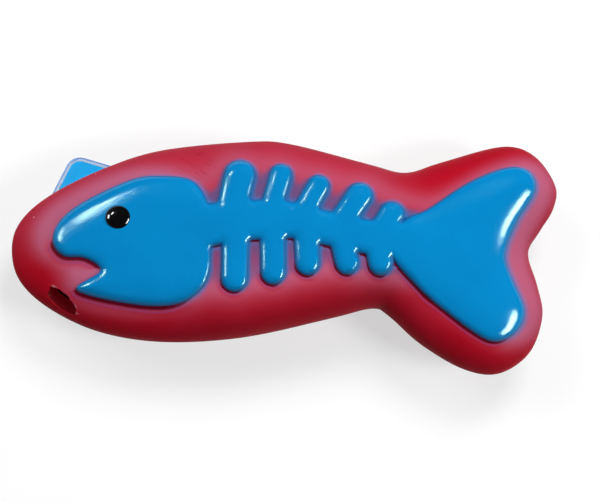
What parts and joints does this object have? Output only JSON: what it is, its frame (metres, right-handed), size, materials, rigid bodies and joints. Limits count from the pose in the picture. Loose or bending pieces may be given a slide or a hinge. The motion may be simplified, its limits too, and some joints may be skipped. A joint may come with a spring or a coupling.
{
  "type": "squeaky fish dog toy",
  "caption": "Hollow soft vinyl fish with a raised fish-bone relief on both flanks, domed eyes, a reed squeaker behind a trimmed chin port and a swing tag on a nylon pin.",
  "frame": {"origin": "on the ground, under the middle of the box of the fish as it lies on its back flank", "axes": "+X from nose to tail, +Y from belly to back, +Z out of the upper flank, which the picture shows"},
  "size_m": [0.1651, 0.0709, 0.0352],
  "materials": {
    "red_vinyl": "satin soft vinyl, moulded in red",
    "blue_paint": "glossy sprayed paint on the raised vinyl",
    "black_paint": "glossy paint on the raised vinyl",
    "squeaker_plastic": "plain moulded white plastic",
    "reed_film": "thin springy plastic strip",
    "tag_print": "printed card under glossy film",
    "tag_margin": "clear film border, pale blue",
    "pin_nylon": "translucent nylon"
  },
  "bodies": {
    "fish": {"vinyl_body": "red_vinyl", "skeleton_back": "blue_paint", "eye_back": "black_paint", "squeaker_housing": "squeaker_plastic", "squeaker_shallot": "squeaker_plastic", "squeaker_wedge": "squeaker_plastic", "tag_pin": "pin_nylon"},
    "upper_flank": {"skeleton_front": "blue_paint", "eye_front": "black_paint"},
    "reed": {"squeaker_reed": "reed_film"},
    "tag": {"tag_card": "tag_print", "tag_film": "tag_margin"}
  },
  "joints": [
    {"name": "flank_squeeze", "type": "slide", "parent": "fish", "child": "upper_flank", "axis": [0, 0, -1], "range_m": [0, 0.004], "stiffness_N_per_m": 2000, "springref_m": -0.0002, "deforming": ["vinyl_body"]},
    {"name": "reed_flutter", "type": "hinge", "parent": "fish", "child": "reed", "pos_m": [-0.06223, -0.00593, 0.01695], "axis": [0.8572, -0.515, 0], "range_deg": [-2, 5], "stiffness_Nm_per_rad": 0.0002},
    {"name": "tag_swivel", "type": "hinge", "parent": "fish", "child": "tag", "pos_m": [-0.0664, 0.0158, 0.00063], "axis": [0, 0, 1], "continuous": true}
  ]
}
